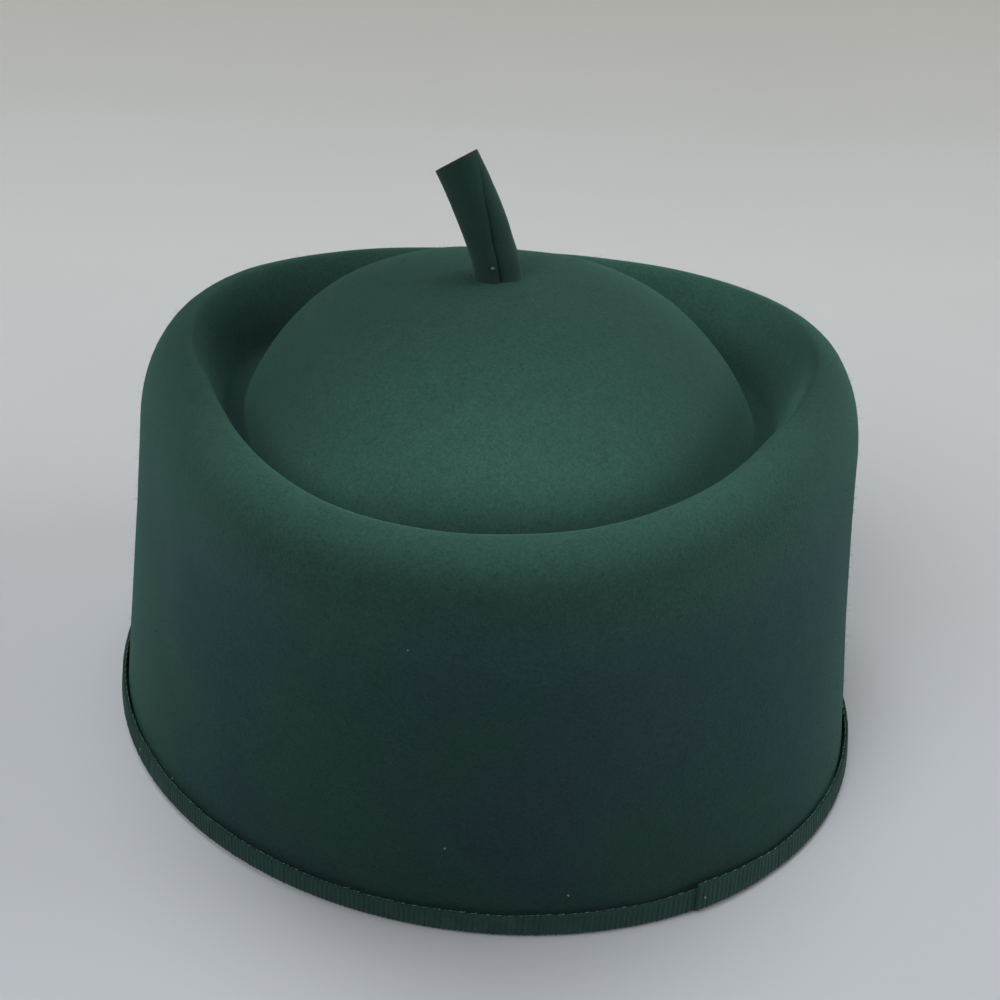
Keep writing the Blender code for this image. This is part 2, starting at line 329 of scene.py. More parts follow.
def build_painted_light_gain():
    """A gain of painted light for the dye: 1 low on the wall, more on top, most at the front of the dome."""
    inputs = {"axis": ("vector", (*AXIS, 0.0))}
    inputs.update({zone: ("float", gain) for zone, gain in PAINTED_LIGHT_GAINS.items()})
    tree, given, end = new_tree("painted_light_gain", "ShaderNodeTree", inputs, {"gain": "float"})
    place = add_node(tree, "ShaderNodeTexCoord").outputs["Object"]
    moved = add_node(tree, "ShaderNodeVectorMath", {0: place, 1: given["axis"]}, operation="SUBTRACT")
    places = dict(zip("xyz", add_node(tree, "ShaderNodeSeparateXYZ", {0: moved.outputs[0]}).outputs))
    across = calc(tree, "MULTIPLY", places["y"], places["y"])
    places["radius"] = calc(tree, "SQRT", calc(tree, "MULTIPLY_ADD", places["x"], places["x"], across))
    gain = 1.0
    for zone, fades in PAINTED_LIGHT_ZONES.items():
        gain = calc(tree, "MULTIPLY_ADD", zone_mask(tree, places, fades), given[zone], gain)
    wire(tree, end["gain"], gain)
    return tree


painted_light_gain = build_painted_light_gain()
print("shader group:", painted_light_gain.name)

# %% Felt of the crown and of the fibres that stand off it
FELT_DYE = (0.0105, 0.0290, 0.0232, 1.0)
FELT_COOL = (0.0120, 0.0240, 0.0300, 1.0)
FELT_CONTRAST = 1.5
FELT_SHEEN = (0.35, 0.85, 0.70, 1.0)


def wire_shader(tree, shader, grain, color=None):
    """Feed the shader from a grain group, with another color where one is given."""
    wire(tree, shader.inputs["Base Color"], color or grain.outputs["color"])
    wire(tree, shader.inputs["Roughness"], grain.outputs["roughness"])
    wire(tree, shader.inputs["Normal"], grain.outputs["normal"])


def grain_node(tree, group, values):
    """A node of a shader group, with its inputs by name."""
    node = add_node(tree, "ShaderNodeGroup", node_tree=group)
    for label, value in values.items():
        node.inputs[label].default_value = value
    return node


def felt_material(name, dye, cool, contrast):
    material, tree, shader = new_material(name, Specular_IOR_Level=0.07, Sheen_Weight=0.18,
                                          Sheen_Roughness=0.45, Sheen_Tint=FELT_SHEEN)
    grain = grain_node(tree, felt_grain, {"dye": dye, "cool dye": cool, "patch size": 45 * MM,
                                          "fibre size": 0.7 * MM, "relief": 0.24 * MM,
                                          "contrast": contrast})
    # The dye is multiplied by the painted light and shade of the zones.
    gain = grey(tree, add_node(tree, "ShaderNodeGroup", node_tree=painted_light_gain).outputs["gain"])
    wire_shader(tree, shader, grain, mix_color(tree, 1.0, grain.outputs["color"], gain, "MULTIPLY"))
    return material


crown_felt = felt_material("crown_felt", FELT_DYE, FELT_COOL, FELT_CONTRAST)
print("material:", crown_felt.name)

# %% [markdown]
# ## The crown
# The felt's profile is drawn as a row of points that hold inset, height and blend: a straight
# wall, a quarter of an oval up to the ridge, half a wave down into the moat, a small crease and
# a dome that is fuller than a ball's cap. The tree then lays a grid round the axis and moves
# each of its points by the rule. A noise of a quarter of a millimetre either way takes the
# machine look off.

# %% Heights and widths of the crown's profile
FELT = 2.5 * MM
FELT_EDGE = 1.8 * MM            # the felt's lower edge, inside the ribbon's fold
RIM_HEIGHT = 94.0 * MM
SHOULDER_DROP = 20.0 * MM
MOAT_DEPTH = 19.0 * MM
CREASE_WIDTH = 0.040
CREASE_DROP = 2.6 * MM
CREASE_START = radians(-50)
SLOPE_WAVE = radians(135)
DOME_SIDE = 2.75                # above 2, fuller than a ball's cap
DOME_FLANK = 0.85               # below 1, its flank starts steep
ROWS = {"wall": 22, "shoulder": 12, "slope": 12, "crease": 6, "dome": 30}


# %% Rows of the profile
def wall_rows():
    rise = RIM_HEIGHT - SHOULDER_DROP - FELT_EDGE
    heights = [FELT_EDGE + rise * i / ROWS["wall"] for i in range(ROWS["wall"])]
    return [(0.0, height, height / RIM_LEVEL) for height in heights]


def shoulder_rows():
    rows = []
    for i in range(ROWS["shoulder"] + 1):
        turn = pi / 2 * i / ROWS["shoulder"]
        height = RIM_HEIGHT - SHOULDER_DROP * (1 - sin(turn))
        rows.append((RIDGE_INSET * (1 - cos(turn)), height, height / RIM_LEVEL))
    return rows


def crease_rows():
    rows = []
    for i in range(ROWS["crease"]):
        turn = CREASE_START + (pi / 2 - CREASE_START) * i / ROWS["crease"]
        inset = MOAT_INSET - CREASE_WIDTH * (1 - sin(turn))
        rows.append((inset, RIM_HEIGHT - MOAT_DEPTH + CREASE_DROP * (1 - cos(turn)), 1.0))
    return rows


def slope_rows(top, bottom):
    rows = []
    for i in range(1, ROWS["slope"]):
        share = i / ROWS["slope"]
        fall = (1 - cos(SLOPE_WAVE * share)) / (1 - cos(SLOPE_WAVE))
        inset, blend = (top[k] + (bottom[k] - top[k]) * share for k in (0, 2))
        rows.append((inset, top[1] + (bottom[1] - top[1]) * fall, blend))
    return rows


def dome_height(share):
    """Height of the dome at a share of the way from its middle to its foot."""
    foot = RIM_HEIGHT - MOAT_DEPTH + CREASE_DROP
    return foot + (DOME_HEIGHT - foot) * (1 - share ** DOME_SIDE) ** DOME_FLANK


def dome_rows():
    shares = [cos(pi / 2 * i / ROWS["dome"]) for i in range(ROWS["dome"] + 1)]
    return [(1 - (1 - MOAT_INSET) * share, dome_height(max(share, 0.0)), 1.0) for share in shares]


def crown_rows():
    shoulder, crease = shoulder_rows(), crease_rows()
    return wall_rows() + shoulder + slope_rows(shoulder[-1], crease[0]) + crease + dome_rows()


print("the profile has", len(crown_rows()), "rows")

# %% Helpers: profile objects, running a tree and keeping its mesh
def mesh_object(name, mesh):
    thing = bpy.data.objects.new(name, mesh)
    bpy.context.scene.collection.objects.link(thing)
    return thing


def data_object(name, corners, faces=()):
    """An object from lists of corners and faces."""
    mesh = bpy.data.meshes.new(name)
    mesh.from_pydata(corners, [], faces)
    return mesh_object(name, mesh)


def bmesh_object(name, bm):
    """An object from a bmesh, which is freed."""
    mesh = bpy.data.meshes.new(name)
    bm.to_mesh(mesh)
    bm.free()
    return mesh_object(name, mesh)


def count_triangles(piece):
    return sum(len(face.vertices) - 2 for face in piece.data.polygons)


def run_tree(name, tree, values):
    """An object with the tree as its modifier, its inputs set by identifier."""
    holder = mesh_object(name, bpy.data.meshes.new(name))
    modifier = holder.modifiers.new(name, "NODES")
    modifier.node_group = tree
    for item in tree.interface.items_tree:
        if item.name in values and item.in_out == "INPUT":
            modifier[item.identifier] = values[item.name]
    return holder


def keep_mesh(name, holder):
    """A plain mesh object of what the holder's modifiers made; the holder goes."""
    bpy.context.view_layer.update()
    graph = bpy.context.evaluated_depsgraph_get()
    mesh = bpy.data.meshes.new_from_object(holder.evaluated_get(graph), depsgraph=graph)
    mesh.name = name
    piece = mesh_object(name, mesh)
    bpy.data.objects.remove(holder, do_unlink=True)
    print(name, "has", count_triangles(piece), "triangles")
    return piece


# %% Geometry Nodes tree: a grid wrapped round the axis
def grid_rows(tree, given, columns):
    """A grid of columns by rows; each point's column, and the three numbers of its row."""
    grid = add_node(tree, "GeometryNodeMeshGrid", {"Vertices X": columns, "Vertices Y": given["rows"]})
    index = add_node(tree, "GeometryNodeInputIndex").outputs[0]
    column = calc(tree, "FLOOR", calc(tree, "DIVIDE", calc(tree, "ADD", index, 0.5), given["rows"]))
    row = calc(tree, "SUBTRACT", index, calc(tree, "MULTIPLY", column, given["rows"]))
    source = add_node(tree, "GeometryNodeObjectInfo", {"Object": given["profile"]})
    sample = add_node(tree, "GeometryNodeSampleIndex", data_type="FLOAT_VECTOR", domain="POINT")
    wire(tree, sample.inputs["Geometry"], source.outputs["Geometry"])
    wire(tree, sample.inputs["Value"], add_node(tree, "GeometryNodeInputPosition").outputs[0])
    wire(tree, sample.inputs["Index"], row)
    numbers = add_node(tree, "ShaderNodeSeparateXYZ", {0: sample.outputs[0]}).outputs
    return grid.outputs["Mesh"], column, numbers


def push_along_normal(tree, geometry, amount):
    """Move each point along its normal."""
    normal = add_node(tree, "GeometryNodeInputNormal").outputs[0]
    offset = add_node(tree, "ShaderNodeVectorMath", {0: normal, "Scale": amount}, operation="SCALE")
    moved = add_node(tree, "GeometryNodeSetPosition", {"Geometry": geometry, "Offset": offset.outputs[0]})
    return moved.outputs[0]


def cap_points(tree, mesh, **sources):
    """The mesh with its points moved to where the rule puts them."""
    point = add_node(tree, "GeometryNodeGroup", node_tree=point_group)
    for label, source in sources.items():
        wire(tree, point.inputs[label], source)
    placed = add_node(tree, "GeometryNodeSetPosition", {"Geometry": mesh, "Position": point.outputs[0]})
    return placed.outputs[0]


def finish_tree(tree, end, geometry, material):
    """Smooth shading, real instances and the material."""
    shaded = add_node(tree, "GeometryNodeSetShadeSmooth", {"Geometry": geometry, "Shade Smooth": True})
    real = add_node(tree, "GeometryNodeRealizeInstances", {"Geometry": shaded.outputs[0]})
    dressed = add_node(tree, "GeometryNodeSetMaterial", {"Geometry": real.outputs[0], "Material": material})
    wire(tree, end["geometry"], dressed.outputs[0])


WELD = 0.02 * MM                # points closer than this become one


def build_crown_tree():
    """The felt's outer face: grid, rule, closed seam and top, and a slight unevenness."""
    inputs = {"profile": ("object", None), "rows": ("int", 2), "sides": ("int", 64),
              "unevenness": ("float", 0.0), "lump size": ("float", 30 * MM), "felt": ("material", None)}
    tree, given, end = new_tree("felt_skin", "GeometryNodeTree", inputs, {"geometry": "geometry"})
    mesh, column, numbers = grid_rows(tree, given, calc(tree, "ADD", given["sides"], 1.0))
    angle = calc(tree, "MULTIPLY", calc(tree, "DIVIDE", column, given["sides"]), tau)
    placed = cap_points(tree, mesh, angle=angle, inset=numbers[0], height=numbers[1], blend=numbers[2])
    closed = add_node(tree, "GeometryNodeMergeByDistance", {"Geometry": placed, "Distance": WELD})
    lumps = add_node(tree, "ShaderNodeTexNoise", {"Detail": 1.0})
    wire(tree, lumps.inputs["Scale"], calc(tree, "DIVIDE", 1.0, given["lump size"]))
    amount = calc(tree, "MULTIPLY", calc(tree, "SUBTRACT", lumps.outputs[0], 0.5), given["unevenness"])
    uneven = push_along_normal(tree, closed.outputs[0], amount)
    finish_tree(tree, end, uneven, given["felt"])
    return tree


crown_tree = build_crown_tree()
print("node tree:", crown_tree.name)

# %% Make the crown's outer face, then its thickness
SIDES = 288
UNEVENNESS = 0.9 * MM
LUMP_SIZE = 32 * MM

crown_profile = data_object("crown_profile", crown_rows())
crown_values = {"profile": crown_profile, "rows": len(crown_profile.data.vertices), "sides": SIDES,
                "unevenness": UNEVENNESS, "lump size": LUMP_SIZE, "felt": crown_felt}
felt_face = keep_mesh("felt_face", run_tree("felt_face", crown_tree, crown_values))


def thicken(name, face, thickness):
    """A copy of a sheet with its thickness, given towards the inside."""
    holder = mesh_object(name, face.data.copy())
    solid = holder.modifiers.new("thickness", "SOLIDIFY")
    solid.thickness = thickness
    solid.offset = -1.0
    return keep_mesh(name, holder)


crown = thicken("crown_shell", felt_face, FELT)

# %% [markdown]
# ## The ribbon
# The edge is bound with a narrow ribbed ribbon: it comes down outside, folds under the felt
# and goes a little way up inside. Its upper end lies over its lower end at the front right,
# where it stands a little taller and prouder. It could be a plain ring with a rib texture,
# but its ribs show in the outline of the edge, so the tree makes each rib, and the strip runs
# a little more than one turn so that one end really lies under the other.

# %% Sizes of the ribbon
RIBBON = 0.5 * MM
RIBBON_FACE = 1.1 * MM          # its outside, from the felt's outside
RIBBON_OUTSIDE = 6.6 * MM       # height outside
RIBBON_INSIDE = 5.6 * MM        # height inside
RIBBON_BACK = -3.6 * MM         # its face inside the cap
FOLD_RADIUS = 1.2 * MM
FOLD_LEVEL = 0.68 * MM          # the ribs below it still clear the ground
RIBS = 520
RIB_DEPTH = 0.22 * MM
TAIL = radians(2.5)             # how far the lower end goes on under the upper one
LAP = {"lap at": radians(-59.0), "lap length": radians(12), "lap rise": 1.7 * MM,
       "lap thickness": 0.6 * MM}       # the end that lies on top
WAVINESS = 0.8 * MM             # of its upper edge
WAVER_RATE = 9.0                # steps of that waver's noise in each radian
print("the ribbon has", RIBS, "ribs, one each", round(tau * OUTLINES["edge"]["radius"] / RIBS / MM, 2), "mm")


# %% The ribbon's section, from its upper edge outside to its upper edge inside
def arc(x, z, radius, start, end, steps):
    turns = [start + (end - start) * i / steps for i in range(steps + 1)]
    return [(x + radius * cos(turn), z + radius * sin(turn)) for turn in turns]


def ribbon_rows():
    """Distance out, height, and how much the row follows the lap."""
    low = FOLD_LEVEL + FOLD_RADIUS
    outside = [(RIBBON_FACE, RIBBON_OUTSIDE + (low - RIBBON_OUTSIDE) * i / 5) for i in range(5)]
    under = arc(RIBBON_FACE - FOLD_RADIUS, low, FOLD_RADIUS, 0, -pi / 2, 4)
    back = arc(RIBBON_BACK + FOLD_RADIUS, low, FOLD_RADIUS, -pi / 2, -pi, 4)
    inside = [(RIBBON_BACK, low + (RIBBON_INSIDE - low) * i / 2) for i in (1, 2)]
    shown = len(outside) + len(under)
    return [(out, height, 1.0 if i < shown else 0.0)
            for i, (out, height) in enumerate(outside + under + back + inside)]


# %% Helpers: where the lap is, the wavy edge and points along it
def lap_at(tree, given, turned):
    """1 where the upper end starts, fading to 0 along the lap."""
    left = calc(tree, "SUBTRACT", 1.0, calc(tree, "DIVIDE", turned, given["lap length"]))
    return calc(tree, "POWER", calc(tree, "MAXIMUM", left, 0.0), 0.7)


def noise_along(tree, turned, rate):
    """A noise from 0 to 1 along the edge."""
    where = calc(tree, "MULTIPLY", turned, rate)
    return add_node(tree, "ShaderNodeTexNoise", {"W": where, "Scale": 1.0}, noise_dimensions="1D").outputs[0]


def edge_rise(tree, given, turned, lap):
    """How much higher the ribbon's upper edge is: its waver and its lap."""
    waver = calc(tree, "SUBTRACT", noise_along(tree, turned, WAVER_RATE), 0.5)
    waver = calc(tree, "MULTIPLY", waver, given["waviness"])
    return calc(tree, "MULTIPLY_ADD", lap, given["lap rise"], waver)


def along_edge(tree, mesh, angle, height, out):
    """The mesh with its points near the wall's outside, at some height and distance out."""
    return cap_points(tree, mesh, angle=angle, height=height, out=out,
                      blend=calc(tree, "DIVIDE", height, RIM_LEVEL))


EDGE_INPUTS = {label: ("float", 0.0) for label in (*LAP, "waviness")}


# %% Geometry Nodes tree: a ribbed strip that follows the cap's edge
RIB_STEPS = 4                   # steps of the strip in each rib
RIB_RATE = 55.0                 # steps of the ribs' noise in each radian


def build_ribbon_tree():
    """The strip: grid, lap, waver and ribs."""
    inputs = {"profile": ("object", None), "rows": ("int", 2), "ribs": ("int", 500),
              "rib depth": ("float", 0.0), "tail": ("float", 0.0), "cloth": ("material", None),
              **EDGE_INPUTS}
    tree, given, end = new_tree("ribbed_strip", "GeometryNodeTree", inputs, {"geometry": "geometry"})
    reach = calc(tree, "ADD", given["tail"], tau)
    steps = calc(tree, "MULTIPLY", given["ribs"], float(RIB_STEPS))
    steps = calc(tree, "ROUND", calc(tree, "MULTIPLY", steps, calc(tree, "DIVIDE", reach, tau)))
    mesh, column, numbers = grid_rows(tree, given, calc(tree, "ADD", steps, 1.0))
    turned = calc(tree, "MULTIPLY", calc(tree, "DIVIDE", column, steps), reach)
    angle = calc(tree, "ADD", turned, given["lap at"])
    lap = calc(tree, "MULTIPLY", lap_at(tree, given, turned), numbers[2])
    rise = edge_rise(tree, given, turned, lap)
    stretch = calc(tree, "ADD", 1.0, calc(tree, "DIVIDE", rise, RIBBON_OUTSIDE))
    height = calc(tree, "MULTIPLY", numbers[1], stretch)
    out = calc(tree, "MULTIPLY_ADD", lap, given["lap thickness"], numbers[0])
    placed = along_edge(tree, mesh, angle, height, out)
    rib = calc(tree, "COSINE", calc(tree, "MULTIPLY", column, tau / RIB_STEPS))
    rib = calc(tree, "MULTIPLY", rib, noise_along(tree, turned, RIB_RATE))
    amount = calc(tree, "MULTIPLY", rib, given["rib depth"])
    finish_tree(tree, end, push_along_normal(tree, placed, amount), given["cloth"])
    return tree


ribbon_tree = build_ribbon_tree()
print("node tree:", ribbon_tree.name)

# %% [markdown]
# ## Ribbon cloth and sewing thread
# The ribbon is woven: fine cords run across it, and its dull weft catches a little light.
# The thread along its upper edge is paler and smoother than the ribbon.

# %% Shader group: cloth_grain, for the ribbon and the thread
FUZZ_SIZE = 0.5 * MM
WEAR_SIZE = 9 * MM


def build_cloth_grain():
    """Weft, fuzz and worn places of woven cloth."""
    inputs = {"dye": ("color", (0.0, 0.0, 0.0, 1.0)), "worn": ("color", (0.0, 0.0, 0.0, 1.0)),
              "thread size": ("float", 0.3 * MM), "relief": ("float", 0.05 * MM)}
    tree, given, end = new_tree("cloth_grain", "ShaderNodeTree", inputs,
                                {"color": "color", "roughness": "float", "normal": "vector"})
    place = add_node(tree, "ShaderNodeTexCoord").outputs["Object"]
    levels = add_node(tree, "ShaderNodeSeparateXYZ", {0: place}).outputs[2]
    pitch = calc(tree, "DIVIDE", tau, given["thread size"])
    weft = calc(tree, "SINE", calc(tree, "MULTIPLY", levels, pitch))
    fuzz = noise_at(tree, place, FUZZ_SIZE, detail=3.0)
    wear = spread(tree, noise_at(tree, place, WEAR_SIZE, detail=4.0), 0.52, 0.72)
    relief = calc(tree, "MULTIPLY_ADD", weft, 0.25, fuzz)
    dyed = mix_color(tree, wear, given["dye"], given["worn"])
    shade = calc(tree, "MULTIPLY_ADD", calc(tree, "SUBTRACT", fuzz, 0.5), 0.7, 1.0)
    bump = add_node(tree, "ShaderNodeBump", {"Strength": 0.6, "Distance": given["relief"], "Height": relief})
    wire(tree, end["color"], mix_color(tree, 1.0, dyed, grey(tree, shade), "MULTIPLY"))
    wire(tree, end["roughness"], spread(tree, fuzz, 0.3, 0.7, 0.92, 0.72))
    wire(tree, end["normal"], bump.outputs[0])
    return tree


cloth_grain = build_cloth_grain()
print("shader group:", cloth_grain.name)


# %% Materials of the ribbon, the thread and the lint
Cloth = namedtuple("Cloth", "dye worn sheen")
CLOTHS = {
    "ribbon_cloth": Cloth((0.012, 0.040, 0.034, 1.0), (0.020, 0.052, 0.046, 1.0), 0.08),
    "thread_yarn": Cloth((0.16, 0.27, 0.24, 1.0), (0.22, 0.32, 0.29, 1.0), 0.1),
    "lint_fluff": Cloth((0.22, 0.27, 0.24, 1.0), (0.30, 0.34, 0.31, 1.0), 0.2),
}
CLOTH_SHEEN = (0.7, 0.85, 0.8, 1.0)


def cloth_material(name):
    cloth = CLOTHS[name]
    material, tree, shader = new_material(name, Specular_IOR_Level=0.12, Sheen_Weight=cloth.sheen,
                                          Sheen_Roughness=0.5, Sheen_Tint=CLOTH_SHEEN)
    wire_shader(tree, shader, grain_node(tree, cloth_grain, {"dye": cloth.dye, "worn": cloth.worn,
                                                             "thread size": 0.45 * MM,
                                                             "relief": 0.08 * MM}))
    return material


ribbon_cloth, thread_yarn, lint_fluff = (cloth_material(name) for name in CLOTHS)
print("materials:", ribbon_cloth.name, thread_yarn.name, lint_fluff.name)

# %% Make the ribbon
ribbon_profile = data_object("ribbon_profile", ribbon_rows())
ribbon_values = {"profile": ribbon_profile, "rows": len(ribbon_profile.data.vertices), "ribs": RIBS,
                 "rib depth": RIB_DEPTH, "tail": TAIL, "waviness": WAVINESS, "cloth": ribbon_cloth, **LAP}
ribbon_face = keep_mesh("ribbon_face", run_tree("ribbon_face", ribbon_tree, ribbon_values))
edge_ribbon = thicken("ribbon_strip", ribbon_face, RIBBON)

# %% [markdown]
# ## Thread along the ribbon's edge
# A pale thread holds the ribbon's upper edge. Each stitch is a short bead, thinner at its
# ends, and one bead is repeated along the same rule as the ribbon, with a little scatter.

# %% One stitch
STITCH_LENGTH = 2.35 * MM
STITCH_THICKNESS = 0.34 * MM
STITCH_BEND = 0.25 * MM


def stitch_object():
    """A bead along X whose ends bend in towards the cloth."""
    bm = bmesh.new()
    bmesh.ops.create_uvsphere(bm, u_segments=6, v_segments=7, radius=0.5)
    for corner in bm.verts:
        x, y, z = corner.co
        corner.co = (z * STITCH_LENGTH, x * STITCH_THICKNESS - (2 * z) ** 4 * STITCH_BEND,
                     y * STITCH_THICKNESS)
    bmesh.ops.recalc_face_normals(bm, faces=bm.faces)
    return bmesh_object("stitch", bm)


stitch = stitch_object()
print("one stitch has", count_triangles(stitch), "triangles")


# %% Geometry Nodes tree: stitches along the edge
def random_value(tree, low, high, seed):
    node = add_node(tree, "FunctionNodeRandomValue", {2: low, 3: high, "Seed": seed}, data_type="FLOAT")
    return node.outputs[1]


def copies_on(tree, points, source, **inputs):
    """A copy of an object on each point."""
    copied = add_node(tree, "GeometryNodeObjectInfo", {"Object": source}).outputs["Geometry"]
    placed = {"Points": points, "Instance": copied, **inputs}
    return add_node(tree, "GeometryNodeInstanceOnPoints", placed).outputs[0]


def build_thread_tree():
    inputs = {"stitch": ("object", None), "count": ("int", 10), "level": ("float", 0.0),
              "out": ("float", 0.0), "scatter": ("float", 0.0), "seed": ("int", 1),
              "yarn": ("material", None), **EDGE_INPUTS}
    tree, given, end = new_tree("thread_run", "GeometryNodeTree", inputs, {"geometry": "geometry"})
    line = add_node(tree, "GeometryNodeMeshLine", {"Count": given["count"]})
    index = add_node(tree, "GeometryNodeInputIndex").outputs[0]
    turned = calc(tree, "DIVIDE", calc(tree, "ADD", index, 0.5), given["count"])
    turned = calc(tree, "MULTIPLY", turned, tau)
    angle = calc(tree, "ADD", turned, given["lap at"])
    lap = lap_at(tree, given, turned)
    height = calc(tree, "ADD", edge_rise(tree, given, turned, lap), given["level"])
    out = calc(tree, "MULTIPLY_ADD", lap, given["lap thickness"], given["out"])
    placed = along_edge(tree, line.outputs["Mesh"], angle, height, out)
    least = calc(tree, "MULTIPLY", given["scatter"], -1.0)
    shake = random_value(tree, least, given["scatter"], given["seed"])
    turn = add_node(tree, "ShaderNodeCombineXYZ", {1: shake, 2: calc(tree, "ADD", angle, -pi / 2)})
    beads = copies_on(tree, placed, given["stitch"], Rotation=turn.outputs[0])
    finish_tree(tree, end, beads, given["yarn"])
    return tree


thread_tree = build_thread_tree()
print("node tree:", thread_tree.name)

# %% Sew the thread
STITCH_PITCH = 2.6 * MM
STITCH_BELOW = 0.2 * MM         # below the ribbon's upper edge
STITCH_SUNK = 0.02 * MM         # into the ribbon's face
STITCH_SEED = 4

round_edge = tau * OUTLINES["edge"]["radius"]
thread_values = {"stitch": stitch, "count": round(round_edge / STITCH_PITCH),
                 "level": RIBBON_OUTSIDE - STITCH_BELOW, "out": RIBBON_FACE - STITCH_SUNK,
                 "waviness": WAVINESS, "scatter": 0.05, "seed": STITCH_SEED, "yarn": thread_yarn, **LAP}
thread = keep_mesh("edge_thread", run_tree("edge_thread", thread_tree, thread_values))
print(thread_values["count"], "stitches")

# %% [markdown]
# ## The stem
# The stem is a strip of the same felt, rolled about two turns and sewn to the dome. It leans
# to the left, its end is cut aslant, and its outer edge shows as a step down the front. A
# rolled strip is a grid bent into a spiral, so plain Python makes it: for each height there
# is one spiral of outer points and one of inner points.

# %% Sizes of the stem
STEM_WIDTH = 11.3 * MM
STEM_DEPTH = 9.2 * MM
STEM_FOOT_Y = -4.2 * MM
STEM_HEIGHT = 26.9 * MM
STEM_LEAN = 10.3 * MM
STEM_BEND = 1.35
STRIP = 1.45 * MM               # thickness of the rolled strip
STRIP_PITCH = 1.55 * MM         # how much closer in each turn lies
STRIP_TURNS = 2.2
SEAM_AT = radians(-90)          # the strip's outer edge, at the foot
SEAM_SWING = radians(55)        # it swings to the right towards the cut end
CUT_RISE = tan(radians(30))
CUT_FALL = tan(radians(14))
STEM_FLARE = 0.09               # how much wider its foot is
FLARE_HEIGHT = 0.05             # of its height
FIRST_TURN = 0.35               # turns until the roll has closed in on itself
EDGE_THIN = 0.45                # how much the strip's outer edge is pressed thin
SETTLE_HEIGHT = 0.12            # its foot follows the dome up to this share of its height
SEAT = 0.05 * MM                # its foot above the dome
LUMPS = 6 * MM
LUMP_HEIGHT = 0.22 * MM
STEM_SEED = 3                   # of its lumps
CUT_MARK = 0.8 * MM             # how far down the bare color of the cut reaches
STEM_RINGS = 40
STEM_STEPS = 50                 # steps in each turn of the roll
print("the stem stands", round(STEM_HEIGHT / MM, 1), "mm high and leans", round(STEM_LEAN / MM, 1), "mm")


# %% The spiral and the place of its points
def strip_section(share, side):
    """Points of the strip's outer (side 0) or inner (side 1) face, in the stem's section."""
    seam = SEAM_AT + SEAM_SWING * share ** 2.2
    flare = 1 + STEM_FLARE * exp(-share / FLARE_HEIGHT)
    points = []
    for i in range(ceil(STRIP_TURNS * STEM_STEPS) + 1):
        wound = i / STEM_STEPS
        thin = 1 - EDGE_THIN * exp(-wound * 28)
        inward = STRIP_PITCH * (wound - FIRST_TURN) + side * STRIP * thin + (1 - thin) * STRIP * 0.8
        angle = seam - tau * wound
        across = (STEM_WIDTH / 2 - inward) * flare * cos(angle)
        points.append((across, (STEM_DEPTH / 2 - inward) * flare * sin(angle)))
    return points


def stem_point(share, across, deep):
    """Where a point of the section is, at a share of the stem's height."""
    lean = atan2(STEM_LEAN * STEM_BEND * share ** (STEM_BEND - 1), STEM_HEIGHT)
    tilt = lean * min(1.0, 2 * share)
    cut = share ** 3
    x = -STEM_LEAN * share ** STEM_BEND + across * cos(tilt)
    y = STEM_FOOT_Y + deep
    foot = dome_height(hypot(x, y) / ((1 - MOAT_INSET) * outline_radius("rim", atan2(y, x))))
    rise = across * (sin(tilt) * (1 - cut) + CUT_RISE * cos(tilt) * cut)
    settle = max(0.0, 1 - share / SETTLE_HEIGHT) ** 2
    z = DOME_HEIGHT + STEM_HEIGHT * share + rise - deep * CUT_FALL * cut
    place = Vector((x + AXIS[0], y + AXIS[1], z * (1 - settle) + (foot + SEAT) * settle))
    return place + noise.noise_vector(place / LUMPS) * LUMP_HEIGHT * min(1.0, share * 6)


# %% Build the rolled strip
def stem_shares():
    """Rings close together at the foot and at the cut end."""
    return [0.5 - 0.5 * cos(pi * i / (STEM_RINGS - 1)) for i in range(STEM_RINGS)]


def build_stem(name):
    """The roll: its two faces, its two edges and its two ends."""
    noise.seed_set(STEM_SEED)
    bm = bmesh.new()
    cut_mark = bm.verts.layers.float.new("cut")
    rings = []
    for share in stem_shares():
        ring = []
        for side in (0, 1):
            ring.append([bm.verts.new(stem_point(share, *point)) for point in strip_section(share, side)])
            for corner in ring[-1]:
                corner[cut_mark] = max(0.0, 1 - (1 - share) * STEM_HEIGHT / CUT_MARK)
        rings.append(ring)
    for low, high in zip(rings, rings[1:]):
        for a, b in ((low[0], high[0]), (high[1], low[1])):
            for i in range(len(a) - 1):
                bm.faces.new((a[i + 1], a[i], b[i], b[i + 1]))
        for i in (0, -1):
            bm.faces.new((low[0][i], low[1][i], high[1][i], high[0][i]))
    for outer, inner in (rings[0], rings[-1]):
        for i in range(len(outer) - 1):
            bm.faces.new((outer[i], outer[i + 1], inner[i + 1], inner[i]))
    bmesh.ops.recalc_face_normals(bm, faces=bm.faces)
    rolled = bmesh_object(name, bm)
    rolled.data.shade_smooth()
    rolled.data.set_sharp_from_angle(angle=radians(50))
    return rolled


stem = build_stem("rolled_stem")
print("stem has", count_triangles(stem), "triangles")

# %% [markdown]
# The cut end of the felt is browner than its dyed faces, because the dye didn't reach its
# middle. The mesh carries a mark that is 1 on the cut and fades below it, and the material
# mixes the two colors by that mark.

# %% Stem felt, with its bare cut edge
STEM_DYE = (0.014, 0.042, 0.034, 1.0)
STEM_COOL = (0.0155, 0.039, 0.039, 1.0)
CUT_BARE = (0.042, 0.034, 0.026, 1.0)
STEM_SHEEN = (0.6, 0.8, 0.75, 1.0)


